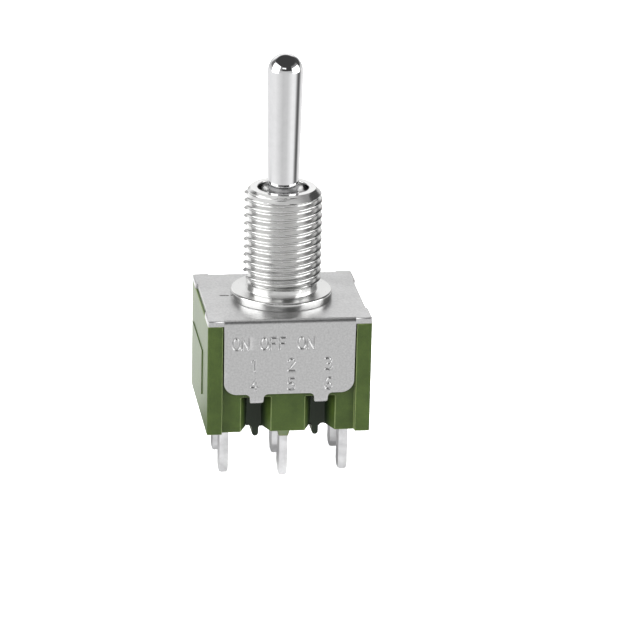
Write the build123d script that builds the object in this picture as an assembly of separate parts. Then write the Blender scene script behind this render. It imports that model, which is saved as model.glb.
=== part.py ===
from build123d import *
import math
import os

# Miniature two-pole panel toggle switch with a centre position, on printed-circuit pins.
# Millimetres. +Z is up, X runs along a row of three terminals and -Y is the front.
# The origin is under the lever's axis, level with the tips of the two middle terminals.

# Moulded case: an open box with corner pillars, a recess in front and behind for the
# frame's flaps, and tapered channels that the frame's lugs are bent into.
case_width = 12.7
case_depth = 11.5
case_height = 8.85
case_corner = 0.12
pillar_width = 1.18
side_wall = 0.95
channel_x = 2.5
channel_mouth = 2.34
channel_bed = 1.16
channel_depth = 1.45
channel_wall = 0.6
floor_thickness = 1.9
barrier_thickness = 0.7
rib_x = 2.35
rib_width = 0.5
rib_drop = 0.9
rib_root = 0.2
pad_proud = 0.08
pad_front = 2.2
pad_rear = 4.6
pad_below_plate = 3.6
pad_height = 3.6

# Frame, pressed from tinned steel sheet.
sheet = 0.45
bend_radius = 0.35
flap_gap = 0.08
flap_length = 6.07
flap_corner = 1.05
lug_width = 1.1
lug_drop = 0.82
lug_reach = 1.3
lug_root = 0.35
lug_corner = 0.2
heel_radius = 0.42
notch_length = 6.5
notch_depth = 0.18
notch_slope = 0.25
plate_corner = 0.12

# Bushing, turned from brass: a quarter-inch stud of 40 threads to the inch.
thread_radius = 3.175
thread_start = 1.25
thread_chamfer = 0.62
bushing_height = 8.9
neck_radius = 2.78
flange_radius = 3.98
flange_thickness = 0.68
flange_edge = 0.16
spigot_radius = 2.88
spigot_drop = 0.45
stake_radius = 3.1
stake_thickness = 0.28
mouth_radius = 1.98
mouth_chamfer = 0.1
keyway_width = 1.9
keyway_depth = 0.45
bore_flare = 0.25
bore_flare_height = 1.4

# Lever, turned from brass, with its pivot ball and cross pin.
throw_deg = 12.5
lever_reach = 10.6
lever_end_radius = 1.37
lever_root_radius = 1.2
pivot_depth = 2.35
ball_radius = 2.25
ball_clearance = 0.05
pin_radius = 0.49
pin_reach = 2.45
pin_clearance = 0.02
arm_radius = 0.8
arm_end_radius = 0.55
arm_tip_radius = 0.8
arm_tip_depth = 1.0
arm_tip_clearance = 0.07

# Terminals, stamped from silver-plated strip, six in all.
terminal_pitch = 4.7
terminal_row = 2.4
end_strip = 0.7
end_blade_width = 1.4
end_drop = 4.3
middle_strip = 0.65
middle_shank_width = 1.25
middle_blade_width = 1.7
middle_drop = 4.7
swell_height = 1.9
swell_slope = 0.4
tip_width = 0.7
end_taper = 0.6
middle_taper = 0.85
tip_edge = 0.13

# Resin collars round the terminals where they leave the case.
collar_margin = 0.3
collar_tip_margin = 0.05
end_collar_drop = 0.45
middle_collar_drop = 1.25

# Contact mechanism: one rocker for each pole, on the knife edge of its middle terminal.
pole_row = 1.9
contact_inset = 0.45
rivet_radius = 0.55
rivet_head = 0.2
rivet_shank = 0.3
foot_margin = 0.65
rocker_width = 1.6
rocker_strip = 0.4
rocker_overhang = 0.4
rocker_tilt_deg = 5.8
rocker_pad = 0.12
rocker_pad_radius = 0.45
rocker_cheek = 0.4
rocker_cheek_drop = 0.1
knife_rise = 0.075
knife_clearance = 0.03
contact_clearance = 0.045
ear_width = 0.2
ear_height = 0.8
ear_clearance = 0.05

# Actuator block, moulded in nylon, with a spring plunger for each pole.
block_length = 4.2
block_height = 3.0
block_edge = 0.25
block_clearance = 0.1
block_side_clearance = 0.12
plunger_radius = 0.6
plunger_clearance = 0.05
plunger_insertion = 0.9
plunger_nose_gap = 0.03
plunger_bore_depth = 2.5
spring_peg_radius = 0.28
spring_peg_height = 0.4
spring_radius = 0.45
spring_wire = 0.1
spring_wire_sides = 5
spring_turns = 3

# Heights, from the tips of the middle terminals up.
base_z = middle_drop
floor_z = base_z + floor_thickness
case_top = base_z + case_height
plate_top = case_top + sheet
bushing_top = plate_top + bushing_height
pivot_z = bushing_top - pivot_depth
lever_top = bushing_top + lever_reach
spigot_end = case_top - spigot_drop
lug_end_z = plate_top - flap_length - lug_drop
lug_ledge_z = lug_end_z + sheet

contact_x = terminal_pitch - contact_inset
foot_top = floor_z + end_strip
contact_top = foot_top + rivet_head
knife_radius = middle_strip / 2
knife_axis_z = contact_top + knife_rise
rocker_swing = contact_x * math.sin(math.radians(rocker_tilt_deg))
pad_bottom = contact_top + rocker_swing + contact_clearance
strip_bottom = pad_bottom + rocker_pad
strip_top = strip_bottom + rocker_strip
plunger_nose_z = strip_top + plunger_nose_gap

block_top = spigot_end - block_clearance
block_bottom = block_top - block_height
arm_tip_z = block_top - arm_tip_depth
arm_length = pivot_z - arm_tip_z
plunger_top = block_bottom + plunger_insertion
plunger_bore_top = block_bottom + plunger_bore_depth
barrier_top = block_bottom - block_clearance

# Widths shared by pieces that fit each other.
front_y = case_depth / 2
recess_y = front_y - sheet
channel_bed_y = recess_y - channel_depth
recess_half = case_width / 2 - pillar_width
flap_half = recess_half - flap_gap
cavity_half_x = case_width / 2 - side_wall
cavity_half_y = channel_bed_y - channel_wall
bore_radius = ball_radius + ball_clearance
block_half_y = cavity_half_y - block_side_clearance
ear_inner = rocker_width / 2 + ear_clearance
ear_outer = ear_inner + ear_width

SIDES = {"front": -1, "rear": 1}
ENDS = {"left": -1, "right": 1}


def box_between(low, high):
    """A box from its lowest corner to its highest."""
    size = [b - a for a, b in zip(low, high)]
    centre = [(a + b) / 2 for a, b in zip(low, high)]
    return Pos(*centre) * Box(*size)


def mirrored_box(side, near_y, far_y, x_range, z_range):
    """A box between two distances from the middle plane, on the front or the rear side."""
    y_low, y_high = sorted((side * near_y, side * far_y))
    return box_between((x_range[0], y_low, z_range[0]), (x_range[1], y_high, z_range[1]))


def post(radius, z_low, z_high, x=0.0, y=0.0):
    """An upright cylinder between two heights."""
    return Pos(x, y, (z_low + z_high) / 2) * Cylinder(radius, z_high - z_low)


def upright_cone(low_radius, high_radius, z_low, z_high):
    """An upright cone frustum between two heights, on the lever's axis."""
    return Pos(0, 0, (z_low + z_high) / 2) * Cone(low_radius, high_radius, z_high - z_low)


def cross_rod(radius, length, x, y, z):
    """A cylinder along Y."""
    return Pos(x, y, z) * Rot(90, 0, 0) * Cylinder(radius, length)


def blade_slot(x, side, strip, width):
    """The room that a terminal's blade takes through the case floor."""
    y = side * terminal_row
    low = (x - strip / 2, y - width / 2, base_z)
    high = (x + strip / 2, y + width / 2, floor_z)
    return box_between(low, high)


def channel(x, side):
    """A tapered channel in the front or rear of the case, up to the ledge that the lug hooks under."""
    mouth, bed = channel_mouth / 2, channel_bed / 2
    outline = Polyline(
        (x - mouth, side * front_y),
        (x - mouth, side * recess_y),
        (x - bed, side * channel_bed_y),
        (x + bed, side * channel_bed_y),
        (x + mouth, side * recess_y),
        (x + mouth, side * front_y),
        close=True,
    )
    return extrude(Plane.XY.offset(base_z) * make_face(outline), amount=lug_ledge_z - base_z)


def barrier_rib(x):
    """A round-tipped rib under the case that parts two rows of terminals, with a flared root."""
    half, tip = rib_width / 2, base_z - rib_drop + rib_width / 2
    outline = Polyline(
        (-half - rib_root, base_z),
        (-half, base_z - rib_root),
        (-half, tip),
        (half, tip),
        (half, base_z - rib_root),
        (half + rib_root, base_z),
        close=True,
    )
    length = 2 * channel_bed_y
    rib = extrude(Plane.XZ * make_face(outline), amount=length / 2, both=True)
    return Pos(x, 0, 0) * rib + cross_rod(half, length, x, 0, tip)


def make_case():
    body = box_between((-case_width / 2, -front_y, base_z), (case_width / 2, front_y, case_top))
    body = fillet(body.edges().filter_by(Axis.Z), case_corner)
    for side in SIDES.values():
        body -= mirrored_box(side, recess_y, front_y, (-recess_half, recess_half), (base_z, case_top))
        for x in (-channel_x, channel_x):
            body -= channel(x, side)
    for end in ENDS.values():
        x_range = sorted((end * case_width / 2, end * (case_width / 2 + pad_proud)))
        y_range = sorted((end * pad_front, -end * pad_rear))
        z_high = plate_top - pad_below_plate
        body += box_between((x_range[0], y_range[0], z_high - pad_height), (x_range[1], y_range[1], z_high))
        body += barrier_rib(end * rib_x)
    cavity = box_between(
        (-cavity_half_x, -cavity_half_y, floor_z), (cavity_half_x, cavity_half_y, case_top)
    )
    barrier = box_between(
        (-cavity_half_x, -barrier_thickness / 2, floor_z),
        (cavity_half_x, barrier_thickness / 2, barrier_top),
    )
    body -= cavity - barrier
    for side in SIDES.values():
        body -= blade_slot(0, side, middle_strip, middle_shank_width)
        for end in ENDS.values():
            body -= blade_slot(end * terminal_pitch, side, end_strip, end_blade_width)
    return body


def frame_plate():
    """The top of the frame, with a long shallow notch in each side edge."""
    plate = box_between((-case_width / 2, -front_y, case_top), (case_width / 2, front_y, plate_top))
    plate = fillet(plate.edges().filter_by(Axis.Z), plate_corner)
    half = notch_length / 2
    outer = case_width / 2
    inner = outer - notch_depth
    for end in ENDS.values():
        outline = Polyline(
            (end * outer, -half - notch_slope),
            (end * inner, -half),
            (end * inner, half),
            (end * outer, half + notch_slope),
            close=True,
        )
        plate -= extrude(Plane.XY.offset(case_top) * make_face(outline), amount=sheet)
    return plate - post(spigot_radius, case_top, plate_top)


def outermost(edges, side):
    """The edge furthest forward on the front side, or furthest back on the rear side."""
    return edges.sort_by(Axis.Y)[0 if side < 0 else -1]


def lug_root_fillet(x, hand, side, z):
    """The hollow rounding where a lug leaves its flap."""
    corner = mirrored_box(side, recess_y, front_y, sorted((x, x + hand * lug_root)), (z - lug_root, z))
    return corner - cross_rod(lug_root, case_depth, x + hand * lug_root, side * front_y, z - lug_root)


def frame_lug(x, side, root_z):
    """A lug below the flap, with rounded corners and its end bent in under the case's ledge."""
    x_range = (x - lug_width / 2, x + lug_width / 2)
    lug = mirrored_box(side, recess_y, front_y, x_range, (lug_end_z, root_z))
    lug += mirrored_box(side, front_y - lug_reach, front_y, x_range, (lug_end_z, lug_ledge_z))
    heel = outermost(lug.edges().filter_by(Axis.X).group_by(Axis.Z)[0], side)
    blank = mirrored_box(side, 0, front_y, x_range, (lug_end_z, root_z))
    blank = fillet(blank.edges().filter_by(Axis.Y).group_by(Axis.Z)[0], lug_corner)
    lug = fillet(heel, heel_radius) & blank
    for hand in ENDS.values():
        lug += lug_root_fillet(x + hand * lug_width / 2, hand, side, root_z)
    return lug


def frame_flap(side):
    """A folded flap of the frame, with its two lugs."""
    low_z = plate_top - flap_length
    flap = mirrored_box(side, recess_y, front_y, (-flap_half, flap_half), (low_z, plate_top))
    flap = fillet(flap.edges().filter_by(Axis.Y).group_by(Axis.Z)[0], flap_corner)
    fold = outermost(flap.edges().filter_by(Axis.X).group_by(Axis.Z)[-1], side)
    flap = fillet(fold, bend_radius)
    for x in (-channel_x, channel_x):
        flap += frame_lug(x, side, low_z)
    return flap


def make_frame():
    frame = frame_plate()
    for side in SIDES.values():
        frame -= mirrored_box(side, recess_y, front_y, (-flap_half, flap_half), (case_top, plate_top))
        frame += frame_flap(side)
    return frame


def make_bushing():
    """Flange, neck and threaded stud, staked through the frame, with a keyway down its left side."""
    flange_top = plate_top + flange_thickness
    outline = Polyline(
        (0, spigot_end),
        (spigot_radius, spigot_end),
        (stake_radius, case_top - stake_thickness),
        (stake_radius, case_top),
        (spigot_radius, case_top),
        (spigot_radius, plate_top),
        (flange_radius - flange_edge, plate_top),
        (flange_radius, plate_top + flange_edge),
        (flange_radius, flange_top - flange_edge),
        (flange_radius - flange_edge, flange_top),
        (neck_radius, flange_top),
        (neck_radius, plate_top + thread_start),
        (thread_radius, plate_top + thread_start + thread_radius - neck_radius),
        (thread_radius, bushing_top - thread_chamfer),
        (thread_radius - thread_chamfer, bushing_top),
        (0, bushing_top),
        close=True,
    )
    body = revolve(Plane.XZ * make_face(outline), axis=Axis.Z)
    body -= post(bore_radius, spigot_end, pivot_z)
    body -= upright_cone(bore_radius + bore_flare, bore_radius, spigot_end, spigot_end + bore_flare_height)
    body -= Pos(0, 0, pivot_z) * Sphere(bore_radius)
    body -= post(mouth_radius, pivot_z, bushing_top)
    body -= upright_cone(mouth_radius, mouth_radius + mouth_chamfer, bushing_top - mouth_chamfer, bushing_top)
    slot_half = pin_radius + pin_clearance
    slot_reach = pin_reach + pin_clearance
    body -= box_between((-slot_half, -slot_reach, spigot_end), (slot_half, slot_reach, pivot_z))
    body -= cross_rod(slot_half, 2 * slot_reach, 0, 0, pivot_z)
    keyway = box_between(
        (-thread_radius - keyway_depth, -keyway_width / 2, flange_top),
        (-thread_radius + keyway_depth, keyway_width / 2, bushing_top),
    )
    return body - keyway


def cone_meets_ball(cone_radius, slope, ball, way):
    """Where a cone's side leaves a ball on its axis, as (radius, height above the ball's centre)."""
    a = 1 + slope**2
    b = cone_radius * slope
    c = cone_radius**2 - ball**2
    height = (way * math.sqrt(b**2 - a * c) - b) / a
    return cone_radius + slope * height, height


def make_lever():
    """Bat handle, pivot ball and the arm that drives the actuator block, turned in one piece."""
    dome_z = lever_top - lever_end_radius
    taper = (lever_end_radius - lever_root_radius) / (dome_z - bushing_top)
    arm_taper = (arm_radius - arm_end_radius) / arm_length
    tip_x, tip_rise = cone_meets_ball(arm_end_radius, arm_taper, arm_tip_radius, 1)
    arm_x, arm_rise = cone_meets_ball(arm_radius, arm_taper, ball_radius, -1)
    root_radius = lever_root_radius - taper * pivot_depth
    root_x, root_rise = cone_meets_ball(root_radius, taper, ball_radius, 1)
    tip_low = (0, arm_tip_z - arm_tip_radius)
    tip_high = (tip_x, arm_tip_z + tip_rise)
    ball_low = (arm_x, pivot_z + arm_rise)
    ball_high = (root_x, pivot_z + root_rise)
    dome_low = (lever_end_radius, dome_z)
    dome_high = (0, lever_top)
    outline = [
        ThreePointArc(tip_low, (arm_tip_radius, arm_tip_z), tip_high),
        Line(tip_high, ball_low),
        ThreePointArc(ball_low, (ball_radius, pivot_z), ball_high),
        Line(ball_high, dome_low),
        CenterArc((0, dome_z), lever_end_radius, 0, 90),
        Line(dome_high, tip_low),
    ]
    lever = revolve(Plane.XZ * make_face(outline), axis=Axis.Z)
    return lever - cross_rod(pin_radius, 2 * ball_radius, 0, 0, pivot_z)


def make_pivot_pin():
    return cross_rod(pin_radius, 2 * pin_reach, 0, 0, pivot_z)


def straight_blade(side):
    """An end terminal's pointed blade, as (y, z) points from one shoulder round the tip to the other."""
    y, half, tip = side * terminal_row, end_blade_width / 2, tip_width / 2
    tip_z = base_z - end_drop
    return [
        (y - half, foot_top),
        (y - half, tip_z + end_taper),
        (y - tip, tip_z),
        (y + tip, tip_z),
        (y + half, tip_z + end_taper),
        (y + half, foot_top),
    ]


def strip_piece(outline, x, strip):
    """A flat piece of strip that stands in the YZ plane, centred on x, with its tip edges eased."""
    piece = extrude(Plane.YZ * make_face(Polyline(*outline, close=True)), amount=strip / 2, both=True)
    tip_edges = piece.edges().filter_by(Axis.Y).group_by(Axis.Z)[0]
    return Pos(x, 0, 0) * chamfer(tip_edges, tip_edge)


def waisted_blade(side):
    """A middle terminal's blade: straight in front, and swollen behind to a wider, pointed end."""
    y, shank, tip = side * terminal_row, middle_shank_width / 2, tip_width / 2
    tip_z = base_z - middle_drop
    swell_z = tip_z + swell_height
    swollen = y - shank + middle_blade_width
    return [
        (y - shank, floor_z),
        (y - shank, tip_z + middle_taper),
        (y - tip, tip_z),
        (y + tip, tip_z),
        (swollen, tip_z + middle_taper),
        (swollen, swell_z - swell_slope),
        (y + shank, swell_z),
        (y + shank, floor_z),
    ]


def make_middle_terminal(side):
    """A blade whose head is a round knife edge between two ears, for the rocker to sit on."""
    head_y = side * pole_row
    ear_top = knife_axis_z + knife_radius + ear_height
    head = [
        (head_y + ear_outer, floor_z),
        (head_y + ear_outer, ear_top),
        (head_y + ear_inner, ear_top),
        (head_y + ear_inner, knife_axis_z),
        (head_y - ear_inner, knife_axis_z),
        (head_y - ear_inner, ear_top),
        (head_y - ear_outer, ear_top),
        (head_y - ear_outer, floor_z),
    ]
    piece = strip_piece(waisted_blade(side) + head, 0, middle_strip)
    return piece + cross_rod(knife_radius, 2 * ear_inner, 0, head_y, knife_axis_z)


def make_end_terminal(side, end):
    """A blade with a foot bent over on the case floor, pierced for the contact rivet."""
    x = end * terminal_pitch
    piece = strip_piece(straight_blade(side), x, end_strip)
    x_range = sorted((end * (contact_x - foot_margin), x + end * end_strip / 2))
    foot = mirrored_box(
        side, pole_row - foot_margin, terminal_row + end_blade_width / 2, x_range, (floor_z, foot_top)
    )
    return piece + foot - post(rivet_shank, floor_z, foot_top, end * contact_x, side * pole_row)


def make_fixed_contact(side, end):
    """A silver rivet with a flat head, set in the terminal's foot."""
    x, y = end * contact_x, side * pole_row
    return post(rivet_radius, foot_top, contact_top, x, y) + post(rivet_shank, floor_z, foot_top, x, y)


def make_collar(x, side, strip, width, drop):
    """A collar of resin that tapers down a terminal's blade below the case."""
    y = side * terminal_row
    wide, narrow = 2 * collar_margin, 2 * collar_tip_margin
    root = Plane.XY.offset(base_z) * Pos(x, y) * Rectangle(strip + wide, width + wide)
    tip = Plane.XY.offset(base_z - drop) * Pos(x, y) * Rectangle(strip + narrow, width + narrow)
    core = box_between(
        (x - strip / 2, y - width / 2, base_z - drop), (x + strip / 2, y + width / 2, base_z)
    )
    return loft([root, tip]) - core


def make_rocker(side):
    """A strip with a contact pad under each end and two cheeks that straddle the knife edge."""
    y = side * pole_row
    half_length = contact_x + rocker_overhang
    half_width = rocker_width / 2
    rocker = box_between(
        (-half_length, y - half_width, strip_bottom), (half_length, y + half_width, strip_top)
    )
    rocker = fillet(rocker.edges().filter_by(Axis.Z), rocker_overhang)
    for end in ENDS.values():
        rocker += post(rocker_pad_radius, pad_bottom, strip_bottom, end * contact_x, y)
    groove = knife_radius + knife_clearance
    cheek_half = groove + rocker_cheek
    cheek_low = knife_axis_z - rocker_cheek_drop
    cheeks = box_between((-cheek_half, y - half_width, cheek_low), (cheek_half, y + half_width, strip_bottom))
    cheeks -= cross_rod(groove, rocker_width, 0, y, knife_axis_z)
    cheeks -= box_between((-groove, y - half_width, cheek_low), (groove, y + half_width, knife_axis_z))
    return rocker + cheeks


def make_actuator_block():
    """The sliding block: a socket for the lever's arm on top and a plunger bore for each pole below."""
    block = box_between(
        (-block_length / 2, -block_half_y, block_bottom), (block_length / 2, block_half_y, block_top)
    )
    block = chamfer(block.edges().filter_by(Axis.Z) + block.faces().sort_by(Axis.Z)[0].edges(), block_edge)
    socket_radius = arm_tip_radius + arm_tip_clearance
    block -= post(socket_radius, arm_tip_z - socket_radius - arm_tip_clearance, block_top)
    for side in SIDES.values():
        block -= post(
            plunger_radius + plunger_clearance, block_bottom, plunger_bore_top, 0, side * pole_row
        )
    return block


def make_plunger(side):
    """A round-nosed nylon plunger with a peg that centres its spring."""
    nose_centre = plunger_nose_z + plunger_radius
    peg_top = plunger_top + spring_peg_height
    outline = [
        CenterArc((0, nose_centre), plunger_radius, 270, 90),
        Polyline(
            (plunger_radius, nose_centre),
            (plunger_radius, plunger_top),
            (spring_peg_radius, plunger_top),
            (spring_peg_radius, peg_top),
            (0, peg_top),
            (0, plunger_nose_z),
        ),
    ]
    return Pos(0, side * pole_row, 0) * revolve(Plane.XZ * make_face(outline), axis=Axis.Z)


def make_spring(side):
    """A compression spring between the plunger's shoulder and the top of its bore."""
    height = plunger_bore_top - plunger_top - 2 * spring_wire
    foot = Pos(0, side * pole_row, plunger_top + spring_wire)
    path = foot * Helix(height / spring_turns, height, spring_radius)
    section = Plane(origin=path @ 0, z_dir=path % 0) * RegularPolygon(spring_wire, spring_wire_sides)
    return sweep(section, path=path, is_frenet=True)


def all_nodes():
    nodes = {
        "case": make_case(),
        "frame": make_frame(),
        "bushing": make_bushing(),
        "lever": make_lever(),
        "pivot_pin": make_pivot_pin(),
        "actuator_block": make_actuator_block(),
    }
    for row, side in SIDES.items():
        nodes[f"terminal_{row}_middle"] = make_middle_terminal(side)
        nodes[f"resin_collar_{row}_middle"] = make_collar(
            0, side, middle_strip, middle_shank_width, middle_collar_drop
        )
        nodes[f"rocker_{row}"] = make_rocker(side)
        nodes[f"plunger_{row}"] = make_plunger(side)
        nodes[f"plunger_spring_{row}"] = make_spring(side)
        for hand, end in ENDS.items():
            nodes[f"terminal_{row}_{hand}"] = make_end_terminal(side, end)
            nodes[f"fixed_contact_{row}_{hand}"] = make_fixed_contact(side, end)
            nodes[f"resin_collar_{row}_{hand}"] = make_collar(
                end * terminal_pitch, side, end_strip, end_blade_width, end_collar_drop
            )
    return nodes


os.makedirs("parts", exist_ok=True)
for name, shape in all_nodes().items():
    export_step(shape, f"parts/{name}.step")
slide_per_radian = arm_length * math.sin(math.radians(throw_deg)) / math.radians(throw_deg)
print("pivot height", round(pivot_z, 4), "rocker axis height", round(knife_axis_z, 4))
print("block travel for each radian of lever", round(slide_per_radian, 4))
print("spring top", round(plunger_bore_top, 4), "overall height", round(lever_top, 4))
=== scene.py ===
import math

import bmesh
import bpy
from mathutils import Matrix, Vector


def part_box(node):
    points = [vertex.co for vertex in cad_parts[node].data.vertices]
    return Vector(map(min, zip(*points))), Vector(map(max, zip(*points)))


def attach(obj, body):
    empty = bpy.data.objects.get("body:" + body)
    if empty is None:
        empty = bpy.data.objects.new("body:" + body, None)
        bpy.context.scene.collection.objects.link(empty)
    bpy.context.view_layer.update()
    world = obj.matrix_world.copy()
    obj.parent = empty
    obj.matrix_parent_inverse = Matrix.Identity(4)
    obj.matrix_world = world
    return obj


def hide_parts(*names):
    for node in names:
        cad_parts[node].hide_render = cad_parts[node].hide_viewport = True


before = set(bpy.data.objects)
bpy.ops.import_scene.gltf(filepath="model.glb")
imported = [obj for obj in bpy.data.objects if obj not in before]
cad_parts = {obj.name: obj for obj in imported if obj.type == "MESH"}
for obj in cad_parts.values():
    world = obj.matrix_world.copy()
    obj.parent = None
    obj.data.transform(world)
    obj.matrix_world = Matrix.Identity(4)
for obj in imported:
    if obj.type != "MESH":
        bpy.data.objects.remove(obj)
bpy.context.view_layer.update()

# Camera.
# A long lens stands a little to the left of the front and looks down on the switch. The height of
# the frame's top plate, on the bushing's axis, lands on a measured pixel of the 640 x 640 picture.
MM = 0.001
plate_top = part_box("frame")[1].z
picture_pixels = 640
focal_pixels = 3450.9
aim_pixel = (281.1, 295.4)
camera_azimuth = math.radians(-7.65)
camera_elevation = math.radians(18.98)
camera_roll = math.radians(1.12)
camera_distance = 269.5 * MM

towards_camera = Vector((
    math.sin(camera_azimuth) * math.cos(camera_elevation),
    -math.cos(camera_azimuth) * math.cos(camera_elevation),
    math.sin(camera_elevation),
))
level_right = Vector((0, 0, 1)).cross(towards_camera).normalized()
level_up = towards_camera.cross(level_right)
right = level_right * math.cos(camera_roll) + level_up * math.sin(camera_roll)
up = level_up * math.cos(camera_roll) - level_right * math.sin(camera_roll)
centre = picture_pixels / 2
off_right = (centre - aim_pixel[0]) / focal_pixels
off_up = (aim_pixel[1] - centre) / focal_pixels
back = (towards_camera - right * off_right - up * off_up).normalized()
right = (right - back * right.dot(back)).normalized()
up = back.cross(right)

camera_data = bpy.data.cameras.new("camera")
camera_data.sensor_width = 36.0
camera_data.lens = camera_data.sensor_width * focal_pixels / picture_pixels
camera_data.clip_start = 10 * MM
camera_data.clip_end = 10.0
camera = bpy.data.objects.new("camera", camera_data)
bpy.context.scene.collection.objects.link(camera)
turn = Matrix((right, up, back)).transposed().to_4x4()
place = Vector((0, 0, plate_top)) + towards_camera * camera_distance
camera.matrix_world = Matrix.Translation(place) @ turn
bpy.context.scene.camera = camera
bpy.context.scene.view_settings.view_transform = "Standard"


# Case.
# An open box moulded in green glass-filled thermoset, with pillars at its corners, hollows that the
# frame's lugs are bent into, and ribs below that part the rows of pins.
def linear(hex_colour):
    """An sRGB hex colour as linear red, green, blue and alpha."""
    values = [int(hex_colour[i:i + 2], 16) / 255 for i in (1, 3, 5)]
    return [v / 12.92 if v <= 0.04045 else ((v + 0.055) / 1.055) ** 2.4 for v in values] + [1.0]


def add(tree, kind, values=None, links=None, **settings):
    """Adds a node to a tree, with its input values, its links and its other settings."""
    made = tree.nodes.new("ShaderNode" + kind)
    for name, value in settings.items():
        setattr(made, name, value)
    for name, value in (values or {}).items():
        made.inputs[name].default_value = value
    for name, socket in (links or {}).items():
        tree.links.new(socket, made.inputs[name])
    return made


def new_material(name):
    """An empty node material, and its tree."""
    material = bpy.data.materials.new(name)
    material.use_nodes = True
    material.node_tree.nodes.clear()
    return material, material.node_tree


def per_mm(size_mm):
    """The scale of a pattern in object space whose features are that many millimetres wide."""
    return 1 / (size_mm * MM)


def grey(level):
    """A neutral colour of that linear level."""
    return (level, level, level, 1.0)


def glass_filled_thermoset(name, darker_hex, lighter_hex, painted_shade_hex=None, painted_shade_mm=None):
    """Moulded thermoset: a dull olive green, faintly clouded by its glass filler, with a matt skin.

    The filler's fleck is finer in the real one, and is drawn as coarse as it needs to show. The green
    can turn to a darker colour between two distances, in millimetres, from the case's middle plane, as
    painted shade."""
    material, tree = new_material(name)
    where = add(tree, "TexCoord")
    cloud = add(tree, "TexNoise", {"Scale": per_mm(1.6), "Detail": 5.0, "Roughness": 0.6},
                {"Vector": where.outputs["Object"]})
    filler = add(tree, "TexNoise", {"Scale": per_mm(0.09), "Detail": 3.0, "Roughness": 0.7},
                 {"Vector": where.outputs["Object"]})
    colour = add(tree, "ValToRGB", None, {"Fac": cloud.outputs["Fac"]})
    colour.color_ramp.elements[0].position = 0.3
    colour.color_ramp.elements[0].color = linear(darker_hex)
    colour.color_ramp.elements[1].position = 0.72
    colour.color_ramp.elements[1].color = linear(lighter_hex)
    fleck = add(tree, "ValToRGB", None, {"Fac": filler.outputs["Fac"]})
    fleck.color_ramp.elements[0].position = 0.35
    fleck.color_ramp.elements[0].color = grey(0.86)
    fleck.color_ramp.elements[1].position = 0.7
    fleck.color_ramp.elements[1].color = (1.08, 1.08, 1.05, 1)
    mixed = add(tree, "Mix", {"Factor": 1.0},
                {"A": colour.outputs["Color"], "B": fleck.outputs["Color"]},
                data_type="RGBA", blend_type="MULTIPLY")
    shade = mixed.outputs["Result"]
    # A darker colour mixed in by depth: painted shade for the recesses.
    if painted_shade_hex:
        place = add(tree, "SeparateXYZ", None, {"Vector": where.outputs["Object"]})
        off_plane = add(tree, "Math", None, {0: place.outputs["Y"]}, operation="ABSOLUTE")
        depth = add(tree, "MapRange", {"From Min": painted_shade_mm[0] * MM, "From Max": painted_shade_mm[1] * MM},
                    {"Value": off_plane.outputs["Value"]}, interpolation_type="SMOOTHSTEP")
        shade = add(tree, "MixRGB", {"Color2": linear(painted_shade_hex)},
                    {"Fac": depth.outputs["Result"], "Color1": shade}).outputs["Color"]
    rough = add(tree, "MapRange", {"To Min": 0.26, "To Max": 0.44}, {"Value": filler.outputs["Fac"]})
    skin = add(tree, "Bump", {"Strength": 0.25, "Distance": 0.012 * MM},
               {"Height": filler.outputs["Fac"]})
    shader = add(tree, "BsdfPrincipled", {"IOR": 1.54, "Specular IOR Level": 0.3},
                 {"Base Color": shade, "Roughness": rough.outputs["Result"],
                  "Normal": skin.outputs["Normal"]})
    add(tree, "OutputMaterial", None, {"Surface": shader.outputs["BSDF"]})
    return material


def apply_modifiers(piece):
    """Bakes a piece's modifiers into its mesh."""
    graph = bpy.context.evaluated_depsgraph_get()
    baked = bpy.data.meshes.new_from_object(piece.evaluated_get(graph))
    piece.modifiers.clear()
    piece.data = baked


def new_piece(name, mesh, material):
    """A new object of the scene, made of that mesh and material."""
    piece = bpy.data.objects.new(name, mesh)
    bpy.context.scene.collection.objects.link(piece)
    piece.data.materials.clear()
    piece.data.materials.append(material)
    return piece


def smooth(piece, angle_deg=35, large_flat_mm2=0.3, square_on=0.99999):
    """Shades a piece smooth, creased where it turns by more than the angle.

    A large face that is square to an axis keeps its own normal, so that it mirrors as a true flat."""
    piece.data.polygons.foreach_set("use_smooth", [True] * len(piece.data.polygons))
    piece.data.set_sharp_from_angle(angle=math.radians(angle_deg))
    weighted = piece.modifiers.new("weighted", "WEIGHTED_NORMAL")
    weighted.mode = "FACE_AREA"
    weighted.weight = 100
    weighted.keep_sharp = True
    apply_modifiers(piece)
    normals = [corner.vector.copy() for corner in piece.data.corner_normals]
    for face in piece.data.polygons:
        if face.area > large_flat_mm2 * MM * MM and max(abs(part) for part in face.normal) > square_on:
            for corner in face.loop_indices:
                normals[corner] = face.normal.copy()
    piece.data.normals_split_custom_set(normals)


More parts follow.
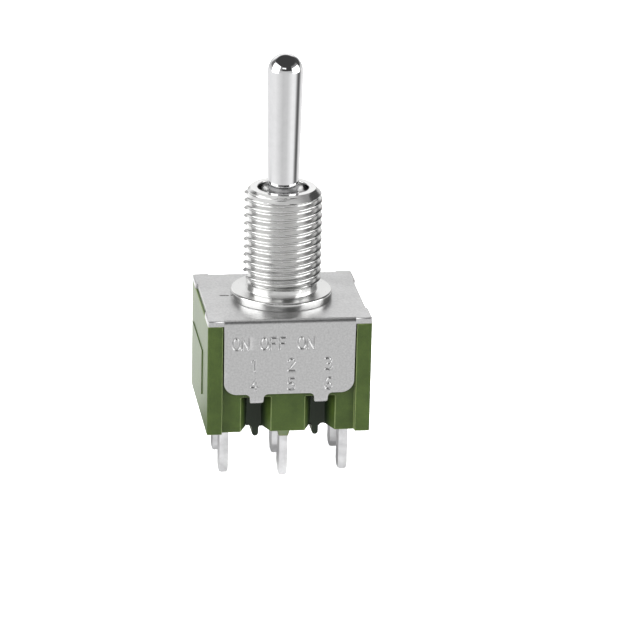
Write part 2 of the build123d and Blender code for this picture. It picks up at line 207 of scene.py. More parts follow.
def eased_copy(name, node, edge_mm, material, segments=2, edge_material=None, keeps_sharp=None,
               flat_deg=1, corner_deg=32):
    """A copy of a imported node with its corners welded, its flats joined and its corners rounded.

    The rounded edges can have a material of their own. An edge stays sharp where keeps_sharp is true
    of both its ends, which it is given in millimetres."""
    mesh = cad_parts[node].data.copy()
    work = bmesh.new()
    work.from_mesh(mesh)
    bmesh.ops.remove_doubles(work, verts=work.verts, dist=0.0005 * MM)
    bmesh.ops.dissolve_limit(work, angle_limit=math.radians(flat_deg), verts=work.verts, edges=work.edges)
    weight = work.edges.layers.float.new("bevel_weight_edge")
    for edge in work.edges:
        if len(edge.link_faces) == 2 and edge.calc_face_angle() > math.radians(corner_deg):
            kept = keeps_sharp and all(keeps_sharp(*(corner.co / MM)) for corner in edge.verts)
            edge[weight] = 0.0 if kept else 1.0
    work.to_mesh(mesh)
    work.free()
    piece = new_piece(name, mesh, material)
    bevel = piece.modifiers.new("eased", "BEVEL")
    bevel.width = edge_mm * MM
    bevel.segments = segments
    bevel.limit_method = "WEIGHT"
    bevel.miter_outer = "MITER_ARC"
    bevel.use_clamp_overlap = False
    if edge_material:
        piece.data.materials.append(edge_material)
        bevel.material = 1
    apply_modifiers(piece)
    return piece


parting_line_beyond = 6.0
parting_line_half = 5.2
parting_line_heights = (5.2, 12.0)


def on_parting_line(x, y, z):
    """True of the shallow line that an insert of the mould leaves on the case's ends."""
    low, high = parting_line_heights
    return abs(x) > parting_line_beyond and abs(y) < parting_line_half and low < z < high


case_edge = 0.06
dark_olive = "#3e5021"
olive = "#4e622b"
case_green = glass_filled_thermoset("green_glass_filled_thermoset", dark_olive, olive)
# The rounded edges take a lighter green of their own: a painted highlight along each edge.
edge_highlight_green = glass_filled_thermoset("green_thermoset_painted_lighter_as_edge_highlight", "#6d7c4c", "#7f8f5c")
case = eased_copy("moulded_case", "case", case_edge, case_green, edge_material=edge_highlight_green,
                  keeps_sharp=on_parting_line)
smooth(case)

# The channels beside the middle pillars, front and rear, turn darker the deeper they run: painted shade,
# since the recesses fall in shadow.
case_half_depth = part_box("case")[1].y / MM
channel_middle = 2.5
channel_half = 1.1
channel_head = 10.5
channel_depths = (0.5, 2.0)
channel_shade_depths = (0.7, 1.8)
facing_out = 0.2
channel_green_painted_shade = glass_filled_thermoset("green_thermoset_painted_darker_as_shade_in_its_channels", dark_olive, olive,
                                       "#202c1b", [case_half_depth - depth for depth in channel_shade_depths])
case.data.materials.append(channel_green_painted_shade)
for face in case.data.polygons:
    x, y, z = face.center / MM
    in_width = abs(abs(x) - channel_middle) < channel_half
    in_depth = channel_depths[0] < case_half_depth - abs(y) < channel_depths[1]
    if in_width and in_depth and z < channel_head and abs(face.normal.y) > facing_out:
        face.material_index = 2
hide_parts("case")
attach(case, "housing")


# Frame.
# A bracket folded from thin tin-plated sheet steel, with a flap down the front and the rear and four
# lugs bent in under the case. Generic marks are stamped in its front, and a short line in its plate.
def tinned_sheet_steel(name, darker_hex, lighter_hex):
    """Tin plate on rolled sheet: a pale satin metal with a mottled grain and faint rolling lines.

    The grain is finer in the real one, and is drawn as coarse as it needs to show."""
    material, tree = new_material(name)
    where = add(tree, "TexCoord")
    stretched = add(tree, "Mapping", {"Scale": (1.0, 1.0, 9.0)}, {"Vector": where.outputs["Object"]})
    grain = add(tree, "TexNoise", {"Scale": per_mm(0.16), "Detail": 4.0, "Roughness": 0.65},
                {"Vector": where.outputs["Object"]})
    rolling = add(tree, "TexNoise", {"Scale": per_mm(1.1), "Detail": 3.0},
                  {"Vector": stretched.outputs["Vector"]})
    mottle = add(tree, "TexNoise", {"Scale": per_mm(2.4), "Detail": 3.0},
                 {"Vector": where.outputs["Object"]})
    colour = add(tree, "ValToRGB", None, {"Fac": grain.outputs["Fac"]})
    colour.color_ramp.elements[0].position = 0.32
    colour.color_ramp.elements[0].color = linear(darker_hex)
    colour.color_ramp.elements[1].position = 0.68
    colour.color_ramp.elements[1].color = linear(lighter_hex)
    rough = add(tree, "MapRange", {"To Min": 0.26, "To Max": 0.44}, {"Value": mottle.outputs["Fac"]})
    relief = add(tree, "Math", None, {0: grain.outputs["Fac"], 1: rolling.outputs["Fac"]},
                 operation="ADD")
    skin = add(tree, "Bump", {"Strength": 0.2, "Distance": 0.01 * MM},
               {"Height": relief.outputs["Value"]})
    shader = add(tree, "BsdfPrincipled", {"Metallic": 1.0},
                 {"Base Color": colour.outputs["Color"], "Roughness": rough.outputs["Result"],
                  "Normal": skin.outputs["Normal"]})
    add(tree, "OutputMaterial", None, {"Surface": shader.outputs["BSDF"]})
    return material


# Each mark is drawn as strokes in a cell one unit high, and a stroke is a list of points.
mark_strokes = {
    "O": [[(0.3 + 0.3 * math.cos(a), 0.5 + 0.5 * math.sin(a)) for a in
           [2 * math.pi * i / 16 for i in range(17)]]],
    "N": [[(0, 0), (0, 1), (0.58, 0), (0.58, 1)]],
    "F": [[(0.5, 1), (0, 1), (0, 0)], [(0, 0.52), (0.42, 0.52)]],
    "1": [[(0.08, 0.8), (0.3, 1), (0.3, 0)]],
    "2": [[(0, 0.78), (0.1, 0.95), (0.3, 1), (0.5, 0.9), (0.53, 0.68), (0, 0), (0.56, 0)]],
    "3": [[(0, 0.95), (0.3, 1), (0.5, 0.85), (0.46, 0.62), (0.2, 0.54), (0.48, 0.46), (0.54, 0.2),
           (0.32, 0), (0, 0.06)]],
    "4": [[(0.42, 0), (0.42, 1), (0, 0.32), (0.58, 0.32)]],
    "5": [[(0.52, 1), (0.06, 1), (0.03, 0.56), (0.3, 0.62), (0.54, 0.45), (0.5, 0.12), (0.25, 0),
           (0, 0.08)]],
    "6": [[(0.5, 0.95), (0.25, 1), (0.04, 0.7), (0, 0.3), (0.12, 0.05), (0.35, 0), (0.54, 0.15),
           (0.54, 0.4), (0.35, 0.56), (0.04, 0.42)]],
}
mark_height = 0.95
mark_squeeze = 0.95
mark_pitch = 0.72
mark_margin = 0.12

# The sheet sinks within the reach of a stroke, and each cell is parted by that many cuts to follow it.
mark_depth = 0.09
mark_reach = 0.11
mark_cuts = 23

# A row is its words, its left edge and the height of its foot over the plate's top, in millimetres.
top = plate_top / MM
mark_rows = [("ON OFF ON", -4.4, -2.35), ("1   2   3", -2.96, -4.1), ("4   5   6", -2.96, -5.7)]


def mark_cells():
    """Each mark's rectangle of the front flap, as left, low, right, high, and its strokes inside it."""
    cells = []
    for words, left, low in mark_rows:
        for place, letter in enumerate(words):
            start = left + place * mark_pitch
            strokes = [[(start + across * mark_height * mark_squeeze, top + low + rise * mark_height)
                        for across, rise in stroke] for stroke in mark_strokes.get(letter, [])]
            if strokes:
                cell_left = start - mark_margin
                cell_high = top + low + mark_height + mark_margin
                cell = (cell_left, top + low - mark_margin, cell_left + mark_pitch, cell_high)
                cells.append((cell, strokes))
    return cells


def off_stroke(point, stroke):
    """The distance from a point to a line through several points."""
    best = 1.0
    for (ax, ay), (bx, by) in zip(stroke, stroke[1:]):
        dx, dy = bx - ax, by - ay
        share = ((point[0] - ax) * dx + (point[1] - ay) * dy) / max(dx * dx + dy * dy, 1e-9)
        share = min(max(share, 0.0), 1.0)
        best = min(best, math.hypot(point[0] - ax - dx * share, point[1] - ay - dy * share))
    return best


def s_curve(share):
    """Rises from 0 to 1 with its share, and levels out at both ends."""
    return share * share * (3 - 2 * share)


def press(piece, axis, level, inward, cells, flush=1e-7):
    """Presses strokes into the flat face at a level of the y axis, 1, or of the z axis, 2.

    The face is first parted along the edges of its cells, and each cell is then finely divided."""
    other = 3 - axis
    work = bmesh.new()
    work.from_mesh(piece.data)

    def flat_faces():
        return [face for face in work.faces if all(abs(v.co[axis] - level) < flush for v in face.verts)]

    for along, picks in ((0, (0, 2)), (other, (1, 3))):
        for place in sorted({round(cell[pick], 4) for cell, strokes in cells for pick in picks}):
            faces = flat_faces()
            edges = list({edge for face in faces for edge in face.edges})
            corners = list({corner for face in faces for corner in face.verts})
            point, normal = Vector((0, 0, 0)), Vector((0, 0, 0))
            point[along], normal[along] = place * MM, 1.0
            bmesh.ops.bisect_plane(work, geom=faces + edges + corners, dist=flush / 10, plane_co=point,
                                   plane_no=normal)

    def strokes_at(place):
        u, v = place[0] / MM, place[other] / MM
        for (left, low, right, high), strokes in cells:
            if left <= u <= right and low <= v <= high:
                return strokes
        return []

    inside = [face for face in flat_faces() if strokes_at(face.calc_center_median())]
    edges = list({edge for face in inside for edge in face.edges})
    bmesh.ops.subdivide_edges(work, edges=edges, cuts=mark_cuts, use_grid_fill=True)
    for corner in {corner for face in flat_faces() for corner in face.verts}:
        away = min([off_stroke((corner.co[0] / MM, corner.co[other] / MM), stroke)
                    for stroke in strokes_at(corner.co)] or [1.0])
        corner.co[axis] += inward * mark_depth * MM * (1 - s_curve(min(away / mark_reach, 1.0)))
    work.to_mesh(piece.data)
    work.free()


sheet_mm = 0.45
hole_radius = 3.2
notch_beyond = 6.0
notch_half = 3.6
flap_half = 5.09
bend_depth = 0.4
on_underside = 0.01
on_flap_side = 0.002


def hidden_or_fine(x, y, z):
    """True under the plate, round its hole, in its end notches and where a flap's side meets the bend."""
    depth = top - z
    under_plate = abs(depth - sheet_mm) < on_underside
    in_hole = math.hypot(x, y) < hole_radius
    in_notch = abs(x) > notch_beyond and abs(y) < notch_half
    in_bend = depth < bend_depth and abs(abs(x) - flap_half) < on_flap_side
    return under_plate or in_hole or in_notch or in_bend


sheet_edge = 0.095
stamped_line = [(-4.72, 0.33), (-4.15, 0.28)]
line_cell = (-4.9, 0.1, -3.95, 0.5)
line_left, line_front, line_right, line_rear = line_cell
# Between these depths the line's bed takes a dark steel, as painted shade.
line_shade_depths = (0.02, 0.12)
sheet_steel = tinned_sheet_steel("tinned_sheet_steel", "#bfbfbf", "#d6d6d6")
painted_shade_in_line = tinned_sheet_steel("painted_shade_in_the_stamped_line", "#3c3a36", "#5a5750")
bracket = eased_copy("steel_frame", "frame", sheet_edge, sheet_steel, segments=3,
                     keeps_sharp=hidden_or_fine)
press(bracket, axis=1, level=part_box("frame")[0].y, inward=1, cells=mark_cells())
press(bracket, axis=2, level=plate_top, inward=-1, cells=[(line_cell, [stamped_line])])

# The bed of the short line is painted dark: painted shade in the groove.
bracket.data.materials.append(painted_shade_in_line)
for face in bracket.data.polygons:
    x, y, z = face.center / MM
    in_cell = line_left < x < line_right and line_front < y < line_rear
    if in_cell and line_shade_depths[0] < top - z < line_shade_depths[1]:
        face.material_index = 1
smooth(bracket)
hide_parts("frame")
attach(bracket, "housing")


# Bushing.
# A round flange, a plain neck and a finely threaded stud, turned from brass and bright nickel
# plated. It is staked through the frame, and a keyway runs down its left side.
def turned_metal(name, colour_hex, roughness, turning_mm, scratch):
    """Turned metal, plated or bare: bright, with tool rings that just break up its reflections.

    The rings are closer in the real one, and are drawn as coarse as they need to show."""
    material, tree = new_material(name)
    where = add(tree, "TexCoord")
    squeezed = add(tree, "Mapping", {"Scale": (0.006, 0.006, 1.0)}, {"Vector": where.outputs["Object"]})
    rings = add(tree, "TexNoise", {"Scale": per_mm(turning_mm), "Detail": 2.0},
                {"Vector": squeezed.outputs["Vector"]})
    haze = add(tree, "TexNoise", {"Scale": per_mm(0.7), "Detail": 5.0, "Roughness": 0.65},
               {"Vector": where.outputs["Object"]})
    colour = add(tree, "ValToRGB", None, {"Fac": haze.outputs["Fac"]})
    colour.color_ramp.elements[0].position = 0.25
    colour.color_ramp.elements[0].color = [c * 0.93 for c in linear(colour_hex)[:3]] + [1.0]
    colour.color_ramp.elements[1].position = 0.75
    colour.color_ramp.elements[1].color = linear(colour_hex)
    rough = add(tree, "MapRange", {"To Min": roughness * 0.7, "To Max": roughness * 1.3},
                {"Value": haze.outputs["Fac"]})
    skin = add(tree, "Bump", {"Strength": scratch, "Distance": 0.004 * MM},
               {"Height": rings.outputs["Fac"]})
    shader = add(tree, "BsdfPrincipled", {"Metallic": 1.0},
                 {"Base Color": colour.outputs["Color"], "Roughness": rough.outputs["Result"],
                  "Normal": skin.outputs["Normal"]})
    add(tree, "OutputMaterial", None, {"Surface": shader.outputs["BSDF"]})
    return material


def arc(centre_r, centre_z, radius, start_deg, end_deg, steps):
    """Points along an arc of a turned profile, as (radius, height)."""
    angles = [math.radians(start_deg + (end_deg - start_deg) * i / steps) for i in range(steps + 1)]
    return [(centre_r + radius * math.cos(a), centre_z + radius * math.sin(a)) for a in angles]


def turned(work, profile, columns):
    """Adds a surface turned about the upright axis. A point of the profile at radius 0 lies on the axis."""
    rings = []
    for r, z in profile:
        angles = [2 * math.pi * i / columns for i in range(columns)] if r > 1e-6 else [0]
        rings.append([work.verts.new((r * math.cos(a) * MM, r * math.sin(a) * MM, z * MM)) for a in angles])
    for low, high in zip(rings, rings[1:]):
        for i in range(columns):
            j = (i + 1) % columns
            if len(low) == 1:
                work.faces.new((low[0], high[j], high[i]))
            elif len(high) == 1:
                work.faces.new((low[i], low[j], high[0]))
            else:
                work.faces.new((low[i], low[j], high[j], high[i]))


def finished_mesh(work):
    """A mesh of that work, welded and with its faces turned outwards."""
    bmesh.ops.remove_doubles(work, verts=work.verts, dist=0.0001 * MM)
    bmesh.ops.recalc_face_normals(work, faces=work.faces)
    mesh = bpy.data.meshes.new("turned")
    work.to_mesh(mesh)
    work.free()
    return mesh


def block_mesh(low, high):
    """A plain box between two corners in millimetres, used to cut slots."""
    work = bmesh.new()
    bmesh.ops.create_cube(work, size=1.0)
    size = [(b - a) * MM for a, b in zip(low, high)]
    middle = [(a + b) / 2 * MM for a, b in zip(low, high)]
    work.transform(Matrix.Translation(middle) @ Matrix.Diagonal((*size, 1.0)))
    mesh = bpy.data.meshes.new("block")
    work.to_mesh(mesh)
    work.free()
    return mesh


def cut(piece, cutter_mesh):
    """Cuts a mesh out of a piece."""
    cutter = bpy.data.objects.new("cutter", cutter_mesh)
    bpy.context.scene.collection.objects.link(cutter)
    boolean = piece.modifiers.new("cut", "BOOLEAN")
    boolean.operation = "DIFFERENCE"
    boolean.solver = "EXACT"
    boolean.object = cutter
    apply_modifiers(piece)
    bpy.data.objects.remove(cutter)


# Heights are measured from the top of the frame's plate.
thread_pitch = 0.635
stud_radius = 3.175
crest_radius = 3.08
root_radius = 2.7
neck_radius = 2.78
flange_radius = 3.98
flange_height = 0.68
thread_low = 1.25
thread_high = 8.78
flange_edge = 0.17
flange_burr = 0.05
neck_fillet = 0.08
stud_height = 8.9
stud_chamfer = 0.62
rim_edge = 0.05
rim_inset = 0.03
mouth_radius = 1.98
mouth_edge = 0.08
seat_radius = 2.3
seat_foot = 0.5
pivot_height = 6.55
spigot_radius = 2.88
spigot_flare = 0.25
spigot_low = -0.9
run_out_slope = 0.8
crest_flat = 0.14
crest_rounding = 0.35
rows_per_pitch = 16
thread_columns = 288


def stud_radius_at(height, angle):
    """The radius of the threaded stud: its outline, with the thread cut into it."""
    run_out = neck_radius + (height - thread_low) * run_out_slope
    chamfer = stud_radius - stud_chamfer + (stud_height - height)
    outline = min(run_out, stud_radius, chamfer)
    if not thread_low < height < thread_high:
        return outline
    turn_share = (height / thread_pitch - angle / (2 * math.pi)) % 1.0
    from_crest = abs(turn_share - 0.5) * 2
    slope = min(max((from_crest - crest_flat) / (1 - 2 * crest_flat), 0.0), 1.0)
    depth_share = s_curve(slope) * crest_rounding + slope * (1 - crest_rounding)
    return min(outline, crest_radius - (crest_radius - root_radius) * depth_share)


def add_thread(work):
    """Adds the threaded part of the stud. Its rows of points climb with the helix and end level."""
    step = thread_pitch / rows_per_pitch
    climbing = []
    for k in range(-rows_per_pitch, int((thread_high - thread_low) / step) + 2):
        row = []
        for i in range(thread_columns + 1):
            share = i / thread_columns
            a = 2 * math.pi * share
            height = min(max(thread_low + (k + rows_per_pitch * share) * step, thread_low), thread_high)
            r = stud_radius_at(height, a)
            row.append(work.verts.new((r * math.cos(a) * MM, r * math.sin(a) * MM, (top + height) * MM)))
        climbing.append(row)
    for low, high in zip(climbing, climbing[1:]):
        for i in range(thread_columns):
            work.faces.new((low[i], low[i + 1], high[i + 1], high[i]))


def plain_profile():
    """The rest of the bushing's outline, from the thread's top in over its mouth and round to its foot."""
    points = [(stud_radius_at(thread_high, 0), top + thread_high)]
    points += arc(stud_radius - stud_chamfer - rim_inset, top + stud_height - rim_edge, rim_edge, 50, 90, 4)
    points += arc(mouth_radius + mouth_edge, top + stud_height - mouth_edge, mouth_edge, 90, 180, 6)
    seat_rise = math.degrees(math.acos(mouth_radius / seat_radius))
    points += arc(0, top + pivot_height, seat_radius, seat_rise, 0, 14)
    points += [(seat_radius, top + seat_foot), (seat_radius + spigot_flare, top + spigot_low)]
    points += [(spigot_radius, top + spigot_low), (spigot_radius, top)]
    points += arc(flange_radius - flange_burr, top + flange_burr, flange_burr, -90, 0, 3)
    points += arc(flange_radius - flange_edge, top + flange_height - flange_edge, flange_edge, 0, 90, 6)
    points += arc(neck_radius + neck_fillet, top + flange_height + neck_fillet, neck_fillet, 270, 180, 4)
    return points + [(neck_radius, top + thread_low)]


nickel = turned_metal("bright_nickel_plate", "#e0e0df", 0.17, 0.06, 0.12)
faced_nickel = turned_metal("nickel_plate_on_a_faced_flange", "#e4e4e3", 0.3, 0.06, 0.2)
bushing_work = bmesh.new()
turned(bushing_work, plain_profile(), thread_columns)
add_thread(bushing_work)
bushing = new_piece("threaded_bushing", finished_mesh(bushing_work), nickel)

# The keyway, and the two slots inside that the cross pin is fitted into from below.
keyway_half = 0.95
keyway_bed = 2.725
keyway_outer = 3.7
above_stud = 0.5
cut(bushing, block_mesh((-keyway_outer, -keyway_half, top + flange_height),
                        (-keyway_bed, keyway_half, top + stud_height + above_stud)))
slot_half = 0.51
slot_reach = 2.47
below_plate = 0.95
above_pivot = 0.45
cut(bushing, block_mesh((-slot_half, -slot_reach, top - below_plate),
                        (slot_half, slot_reach, top + pivot_height + above_pivot)))

thread_crease_deg = 38
facing_up = 0.95
on_flange = 0.02
smooth(bushing, thread_crease_deg)
bushing.data.materials.append(faced_nickel)
for face in bushing.data.polygons:
    above_flange = face.center.z / MM - top - flange_height
    if face.normal.z > facing_up and abs(above_flange) < on_flange:
        face.material_index = 1
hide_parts("bushing")
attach(bushing, "housing")


# Lever.
# A bat handle with a round end, its pivot ball and the arm that drives the contacts, turned from
# brass in one piece and chrome plated. A steel pin through the ball hangs it in the bushing.
lever_low, lever_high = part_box("lever")
lever_top = lever_high.z / MM
pivot_z = top + pivot_height
bat_end_radius = 1.37
bat_root_radius = 1.2
bat_foot_radius = 1.16
bat_steps = 24
ball_radius = 2.25
arm_low = lever_low.z / MM
arm_tip_radius = 0.8
arm_end_radius = 0.55
arm_root_radius = 0.8
lever_columns = 192


def lever_profile():
    """The lever's outline, from the tip of its arm to the top of its dome."""
    dome_z = lever_top - bat_end_radius
    tip_z = arm_low + arm_tip_radius
    tip_rise = math.degrees(math.acos(arm_end_radius / arm_tip_radius))
    arm_fall = math.degrees(math.acos(arm_root_radius / ball_radius))
    bat_rise = math.degrees(math.acos(bat_foot_radius / ball_radius))
    points = arc(0, tip_z, arm_tip_radius, -90, tip_rise, 20)
    points += arc(0, pivot_z, ball_radius, -arm_fall, bat_rise, 40)
    length = dome_z - (top + stud_height)
    for i in range(bat_steps + 1):
        share = i / bat_steps
        points.append((bat_root_radius + (bat_end_radius - bat_root_radius) * share,
                       top + stud_height + length * share))
    points += arc(0, dome_z, bat_end_radius, 0, 90, 28)[1:]
    points[0] = (0.0, points[0][1])
    points[-1] = (0.0, lever_top)
    return points


chrome = turned_metal("mirror_chrome_plate", "#e6e6e7", 0.05, 0.09, 0.06)
lever_work = bmesh.new()
turned(lever_work, lever_profile(), lever_columns)
lever = new_piece("bat_lever", finished_mesh(lever_work), chrome)
smooth(lever)
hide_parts("lever")
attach(lever, "lever")


# Terminals.
# Six flat pins stamped from copper alloy strip and silver plated, pushed through the case floor. The
# middle two are longer and carry the rockers inside, and the end four carry the fixed contacts.
def silver_plate(name, colour_hex, roughness):
    """Silver plate on stamped strip: pale and soft, with cloudy patches and faint draw marks."""
    material, tree = new_material(name)
    where = add(tree, "TexCoord")
    drawn = add(tree, "Mapping", {"Scale": (1.0, 1.0, 0.12)}, {"Vector": where.outputs["Object"]})
    marks = add(tree, "TexNoise", {"Scale": per_mm(0.12), "Detail": 3.0},
                {"Vector": drawn.outputs["Vector"]})
    clouds = add(tree, "TexNoise", {"Scale": per_mm(0.8), "Detail": 4.0},
                 {"Vector": where.outputs["Object"]})
    colour = add(tree, "ValToRGB", None, {"Fac": clouds.outputs["Fac"]})
    colour.color_ramp.elements[0].position = 0.3
    colour.color_ramp.elements[0].color = [c * 0.74 for c in linear(colour_hex)[:3]] + [1.0]
    colour.color_ramp.elements[1].position = 0.65
    colour.color_ramp.elements[1].color = linear(colour_hex)
    rough = add(tree, "MapRange", {"To Min": roughness * 0.75, "To Max": roughness * 1.35},
                {"Value": clouds.outputs["Fac"]})
    skin = add(tree, "Bump", {"Strength": 0.6, "Distance": 0.012 * MM},
               {"Height": marks.outputs["Fac"]})
    shader = add(tree, "BsdfPrincipled", {"Metallic": 1.0},
                 {"Base Color": colour.outputs["Color"], "Roughness": rough.outputs["Result"],
                  "Normal": skin.outputs["Normal"]})
    add(tree, "OutputMaterial", None, {"Surface": shader.outputs["BSDF"]})
    return material


floor_inside = 7.0


def inside_case(x, y, z):
    """True of the part of a pin that the closed case hides."""
    return z > floor_inside


pin_edge = 0.06
silver = silver_plate("silver_plate", "#f3f3f4", 0.3)
rows = ("front", "rear")
hands = ("left", "middle", "right")
for row in rows:
    for hand in hands:
        node = f"terminal_{row}_{hand}"
        pin = eased_copy(f"pin_{row}_{hand}", node, pin_edge, silver, keeps_sharp=inside_case)
        smooth(pin)
        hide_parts(node)
        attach(pin, "housing")


# Resin collars.
# Potting resin seals each pin where it leaves the case. It is glossy and a paler green than the
# case, and it crept down the pins before it set, furthest on the middle ones.
def potting_resin():
    """Cast epoxy: glossy, slightly clouded and a little translucent."""
    material, tree = new_material("potting_resin")
    where = add(tree, "TexCoord")
    clouds = add(tree, "TexNoise", {"Scale": per_mm(0.5), "Detail": 3.0},
                 {"Vector": where.outputs["Object"]})
    colour = add(tree, "ValToRGB", None, {"Fac": clouds.outputs["Fac"]})
    colour.color_ramp.elements[0].color = linear("#6c7c53")
    colour.color_ramp.elements[1].color = linear("#8c9972")
    rough = add(tree, "MapRange", {"To Min": 0.12, "To Max": 0.3}, {"Value": clouds.outputs["Fac"]})
    shader = add(tree, "BsdfPrincipled",
                 {"IOR": 1.55, "Subsurface Weight": 0.25, "Subsurface Scale": 0.4 * MM},
                 {"Base Color": colour.outputs["Color"], "Roughness": rough.outputs["Result"]})
    add(tree, "OutputMaterial", None, {"Surface": shader.outputs["BSDF"]})
    return material


collar_edge = 0.06
resin = potting_resin()
for row in rows:
    for hand in hands:
        node = f"resin_collar_{row}_{hand}"
        collar = eased_copy(f"collar_{row}_{hand}", node, collar_edge, resin)
        smooth(collar)
        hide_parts(node)
        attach(collar, "housing")


# Mechanism.
# Inside the case a nylon block slides under the lever's arm. Its two sprung plungers rock a silver
# plated strip over the middle terminal of each pole, onto the silver rivets at the ends.
def moulded_nylon():
    """Natural nylon: milky, faintly flowed and softly glossy."""
    material, tree = new_material("natural_nylon")
    where = add(tree, "TexCoord")
    flow = add(tree, "TexNoise", {"Scale": per_mm(1.2), "Detail": 3.0},
               {"Vector": where.outputs["Object"]})
    colour = add(tree, "ValToRGB", None, {"Fac": flow.outputs["Fac"]})
    colour.color_ramp.elements[0].color = linear("#dcd6c4")
    colour.color_ramp.elements[1].color = linear("#ebe6d8")
    rough = add(tree, "MapRange", {"To Min": 0.35, "To Max": 0.5}, {"Value": flow.outputs["Fac"]})
    shader = add(tree, "BsdfPrincipled", {"IOR": 1.53},
                 {"Base Color": colour.outputs["Color"], "Roughness": rough.outputs["Result"]})
    add(tree, "OutputMaterial", None, {"Surface": shader.outputs["BSDF"]})
    return material


nylon = moulded_nylon()
contact_silver = silver_plate("rivet_silver", "#f2f1ee", 0.2)
wire_steel = turned_metal("drawn_spring_wire", "#b9b9ba", 0.25, 0.03, 0.3)
finishes = {"actuator_block": nylon, "pivot_pin": wire_steel}
for row in rows:
    finishes[f"rocker_{row}"] = silver
    finishes[f"plunger_{row}"] = nylon
    finishes[f"plunger_spring_{row}"] = wire_steel
    for hand in ("left", "right"):
        finishes[f"fixed_contact_{row}_{hand}"] = contact_silver
for node, material in finishes.items():
    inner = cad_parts[node]
    inner.data.materials.clear()
    inner.data.materials.append(material)


# Studio.
# A plain white table between two soft boxes, with a third overhead. Bright metal shows what it
# mirrors, so a graded floor, graded walls and a ring over the switch stand in for the rest of the room.
def by_bearing(tree, where, stops):
    """A grey that changes round the switch.

    A stop is a bearing, from -90 to 270 degrees with 0 at the front, and the level there."""
    sweep = add(tree, "TexGradient", None, {"Vector": where}, gradient_type="RADIAL")
    ramp = add(tree, "ValToRGB", None, {"Fac": sweep.outputs["Fac"]})
    elements = ramp.color_ramp.elements
    while len(elements) < len(stops):
        elements.new(0.5)
    for element, (bearing, level) in zip(elements, stops):
        element.position = bearing / 360 + 0.25
        element.color = grey(level)
    return ramp.outputs["Color"]


def glow(name, stops, nearer=(), one_sided=False):
    """A card that glows by its stops, and by other stops in each ring nearer to the switch.

    A ring is its stops and the two distances, in millimetres, between which they fade into what lies
    outside. A one-sided card glows downwards and is clear from above."""
    material, tree = new_material(name)
    where = add(tree, "TexCoord").outputs["Object"]
    colour = by_bearing(tree, where, stops)
    distance = add(tree, "VectorMath", None, {0: where}, operation="LENGTH")
    for ring_stops, fade_from, fade_to in nearer:
        share = add(tree, "MapRange", {"From Min": fade_from * MM, "From Max": fade_to * MM},
                    {"Value": distance.outputs["Value"]}, interpolation_type="SMOOTHSTEP")
        blend = add(tree, "MixRGB", None, {"Fac": share.outputs["Result"], "Color2": colour,
                                           "Color1": by_bearing(tree, where, ring_stops)})
        colour = blend.outputs["Color"]
    surface = add(tree, "Emission", {"Strength": 1.0}, {"Color": colour}).outputs["Emission"]
    if one_sided:
        facing = add(tree, "NewGeometry").outputs["Backfacing"]
        clear = add(tree, "BsdfTransparent").outputs["BSDF"]
        surface = add(tree, "MixShader", None, {0: facing, 1: clear, 2: surface}).outputs["Shader"]
    add(tree, "OutputMaterial", None, {"Surface": surface})
    return material


def white_table():
    """Matt white board that glows faintly, so that the shadow on it stays pale."""
    material, tree = new_material("white_board")
    where = add(tree, "TexCoord")
    tooth = add(tree, "TexNoise", {"Scale": per_mm(0.8), "Detail": 2.0},
                {"Vector": where.outputs["Object"]})
    colour = add(tree, "ValToRGB", None, {"Fac": tooth.outputs["Fac"]})
    colour.color_ramp.elements[0].color = grey(0.88)
    colour.color_ramp.elements[1].color = grey(0.92)
    shader = add(tree, "BsdfPrincipled", {"Roughness": 0.9, "Specular IOR Level": 0.1,
                                          "Emission Color": grey(1.0), "Emission Strength": 0.9},
                 {"Base Color": colour.outputs["Color"]})
    add(tree, "OutputMaterial", None, {"Surface": shader.outputs["BSDF"]})
    return material


def stage_disc(name, inner, outer, height, material, sides=64):
    """A flat disc round the switch, in millimetres, or a ring where its inner radius isn't 0."""
    work = bmesh.new()
    rim = [(math.cos(2 * math.pi * i / sides), math.sin(2 * math.pi * i / sides)) for i in range(sides)]
    near = [work.verts.new((x * inner * MM, y * inner * MM, height * MM)) for x, y in rim] if inner else []
    far = [work.verts.new((x * outer * MM, y * outer * MM, height * MM)) for x, y in rim]
    if near:
        for i in range(sides):
            j = (i + 1) % sides
            work.faces.new((near[i], far[i], far[j], near[j]))
    else:
        work.faces.new(far)
    mesh = bpy.data.meshes.new(name)
    work.to_mesh(mesh)
    work.free()
    disc = new_piece(name, mesh, material)
    return disc


def reflected_only(card, lights_matt=False):
    """Keeps a card out of the picture and of the shadows, so that it is only mirrored.

    It can also light what is matt."""
    card.visible_camera = False
    card.visible_shadow = False
    card.visible_transmission = False
    card.visible_diffuse = lights_matt


table_radius = 1500
table = stage_disc("table", 0, table_radius, 0, white_table())
table.visible_glossy = False
table.visible_diffuse = False

# The floor that the metal mirrors lies just under the table, and has its own shades near the switch; the
# darker ring right under it is a painted shadow.
mirrored_floor_height = -0.1
far_floor = [(-90, 1.02), (-72, 1.03), (-20, 0.70), (10, 0.75), (44, 1.12), (62, 1.05), (80, 0.2),
             (94, 0.1), (118, 1.0), (180, 0.95), (270, 1.02)]
near_floor = [(-90, 1.2), (-60, 1.1), (-15, 0.8), (20, 0.82), (60, 1.05), (80, 0.3), (145, 0.3),
              (165, 1.5), (208, 1.7), (226, 0.4), (246, 0.4), (262, 1.2)]
painted_shadow_underneath = [(-90, 0.7), (-20, 0.93), (20, 0.93), (60, 0.8), (85, 0.3), (145, 0.3), (180, 0.45),
              (225, 0.3), (262, 0.7)]
graded_floor = glow("graded_floor", far_floor, [(near_floor, 55, 80), (painted_shadow_underneath, 10, 17)])
floor_glow = stage_disc("floor_glow", 0, table_radius, mirrored_floor_height, graded_floor)
reflected_only(floor_glow, lights_matt=True)

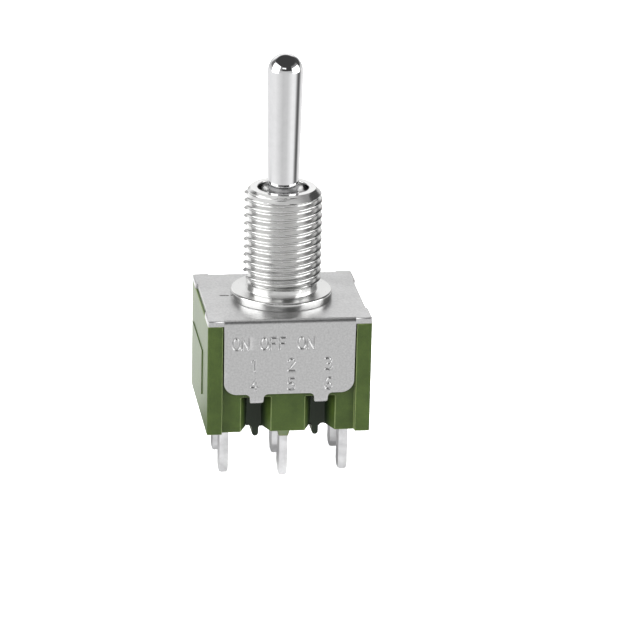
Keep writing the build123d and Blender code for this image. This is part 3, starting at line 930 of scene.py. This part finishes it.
# A small ring over the switch, round the lever, gives what faces up something bright to mirror.
canopy_height = 30
canopy_radii = (1.8, 10)
canopy = [(-90, 0.95), (-45, 0.9), (-10, 0.65), (40, 0.7), (75, 0.35), (105, 0.4), (135, 0.95),
          (180, 0.8), (225, 0.95), (270, 0.95)]
graded_canopy = glow("graded_canopy", canopy, one_sided=True)
reflected_only(stage_disc("canopy", *canopy_radii, canopy_height, graded_canopy))


def soft_box(name, bearing, rise, distance, width_mm, height_mm, radiance, on_matt=True, on_bright=True):
    """An even soft box at that bearing, elevation and distance from the switch, turned to face it.

    It can light only what is matt, or only what is bright and mirrors it."""
    data = bpy.data.lights.new(name, "AREA")
    data.shape = "RECTANGLE"
    data.size = width_mm * MM
    data.size_y = height_mm * MM
    data.energy = radiance * math.pi * data.size * data.size_y
    light = bpy.data.objects.new(name, data)
    bpy.context.scene.collection.objects.link(light)
    around, above = math.radians(bearing), math.radians(rise)
    outward = Vector((math.sin(around) * math.cos(above), -math.cos(around) * math.cos(above),
                      math.sin(above)))
    light.location = Vector((0, 0, plate_top)) + outward * distance * MM
    light.rotation_euler = outward.to_track_quat("Z", "Y").to_euler()
    data.cycles.use_multiple_importance_sampling = on_bright
    light.visible_diffuse = on_matt
    light.visible_glossy = on_bright
    light.visible_camera = False


# The two side boxes light what is matt more strongly than they are mirrored.
soft_box("left_box", -78, 21, 240, 255, 214, 3.6, on_bright=False)
soft_box("right_box", 69, 14, 240, 255, 150, 3.6, on_bright=False)
soft_box("left_mirrored", -78, 21, 240, 255, 214, 2.3, on_matt=False)
soft_box("right_mirrored", 69, 14, 240, 255, 150, 2.3, on_matt=False)
soft_box("brow_strip", -16, 33.5, 240, 90, 26, 2.5)
soft_box("top_box", 0, 82, 420, 420, 420, 2.4, on_bright=False)

world = bpy.data.worlds.new("studio")
bpy.context.scene.world = world
world.use_nodes = True
room = world.node_tree
room.nodes.clear()

# The walls change round the switch, between an even skirting and a dark ceiling. The Z of a direction
# is the sine of its elevation.
skirting_level = 0.7
ceiling_level = 0.06
wall_stops = [(-90, 0.5), (-40, 0.4), (-24, 0.06), (34, 0.06), (42, 0.4), (90, 0.4), (104, 0.08),
              (145, 0.08), (156, 1.2), (206, 1.2), (222, 0.2), (246, 0.2), (262, 0.5)]
direction = add(room, "TexCoord").outputs["Generated"]
walls = by_bearing(room, direction, wall_stops)
height = add(room, "SeparateXYZ", None, {"Vector": direction}).outputs["Z"]
above_walls = add(room, "MapRange", {"From Min": 0.5, "From Max": 0.7}, {"Value": height},
                  interpolation_type="SMOOTHSTEP")
above_skirting = add(room, "MapRange", {"From Min": 0.17, "From Max": 0.24}, {"Value": height})
low_walls = add(room, "MixRGB", {"Color1": grey(skirting_level)},
                {"Fac": above_skirting.outputs["Result"], "Color2": walls})
shades = add(room, "MixRGB", {"Color2": grey(ceiling_level)},
             {"Fac": above_walls.outputs["Result"], "Color1": low_walls.outputs["Color"]})
air = add(room, "Background", {"Strength": 1.0}, {"Color": shades.outputs["Color"]})
add(room, "OutputWorld", None, {"Surface": air.outputs["Background"]})
